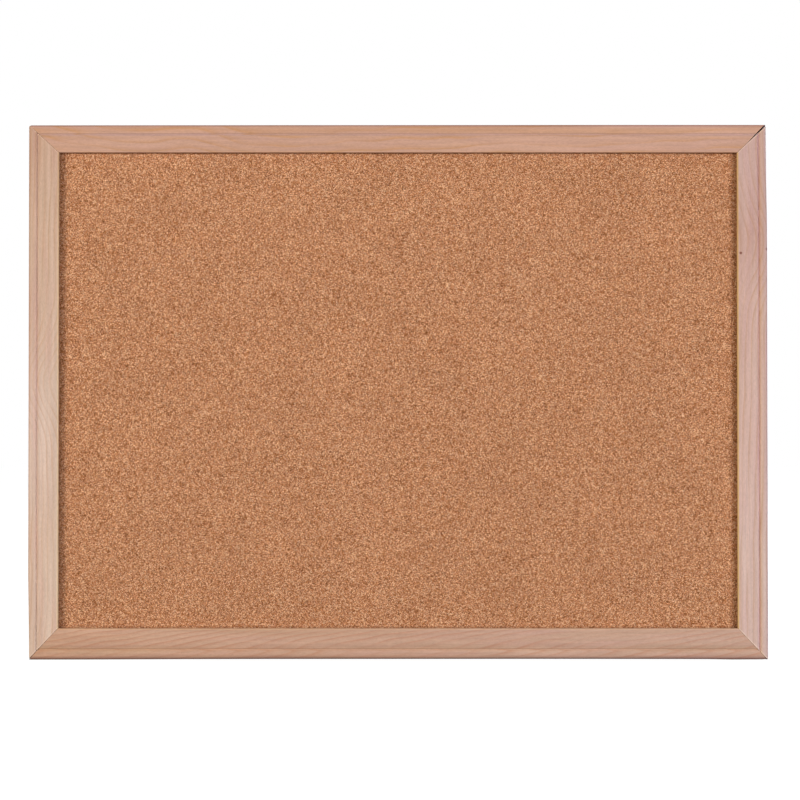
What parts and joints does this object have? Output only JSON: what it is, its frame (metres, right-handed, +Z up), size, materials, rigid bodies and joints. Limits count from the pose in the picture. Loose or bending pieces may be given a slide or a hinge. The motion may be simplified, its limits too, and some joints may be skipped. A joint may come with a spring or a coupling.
{
  "type": "cork board",
  "caption": "Wall-hung notice board: a mitred wooden frame round a cork panel that takes pins, with swinging wire rings behind for wall hooks.",
  "frame": {"origin": "on the wall plane, midway between the two wall hooks and level with where they bear in the rings", "axes": "+X to the right seen from the front, along the board's width; +Y into the wall, so the cork faces -Y; +Z up"},
  "size_m": [0.58, 0.0206, 0.42],
  "materials": {
    "stile_wood": "satin",
    "rail_wood": "satin",
    "cork": "matte",
    "softboard": "matte",
    "hardboard": "matte",
    "steel": "satin",
    "nickel_plate": "gloss",
    "bumper_rubber": "matte"
  },
  "bodies": {
    "board": {"left_stile": "stile_wood", "right_stile": "stile_wood", "top_rail": "rail_wood", "bottom_rail": "rail_wood", "cork_sheet": "cork", "core_board": "softboard", "back_panel": "hardboard", "v_nail_top_left_outer": "steel", "v_nail_top_left_inner": "steel", "v_nail_top_right_outer": "steel", "v_nail_top_right_inner": "steel", "v_nail_bottom_right_outer": "steel", "v_nail_bottom_right_inner": "steel", "v_nail_bottom_left_outer": "steel", "v_nail_bottom_left_inner": "steel", "panel_point_left_1": "steel", "panel_point_left_2": "steel", "panel_point_top_1": "steel", "panel_point_top_2": "steel", "panel_point_top_3": "steel", "panel_point_right_1": "steel", "panel_point_right_2": "steel", "panel_point_bottom_1": "steel", "panel_point_bottom_2": "steel", "panel_point_bottom_3": "steel", "left_hanger_strap": "nickel_plate", "right_hanger_strap": "nickel_plate", "left_hanger_screw": "steel", "right_hanger_screw": "steel", "left_bumper": "bumper_rubber", "right_bumper": "bumper_rubber"},
    "left_ring": {"left_hanger_ring": "nickel_plate"},
    "right_ring": {"right_hanger_ring": "nickel_plate"}
  },
  "joints": [
    {"name": "left_ring_swing", "type": "hinge", "parent": "board", "child": "left_ring", "pos_m": [-0.28225, -0.0025, -0.0135], "axis": [-1, 0, 0], "range_deg": [0, 186]},
    {"name": "right_ring_swing", "type": "hinge", "parent": "board", "child": "right_ring", "pos_m": [0.28225, -0.0025, -0.0135], "axis": [-1, 0, 0], "range_deg": [0, 186]}
  ]
}
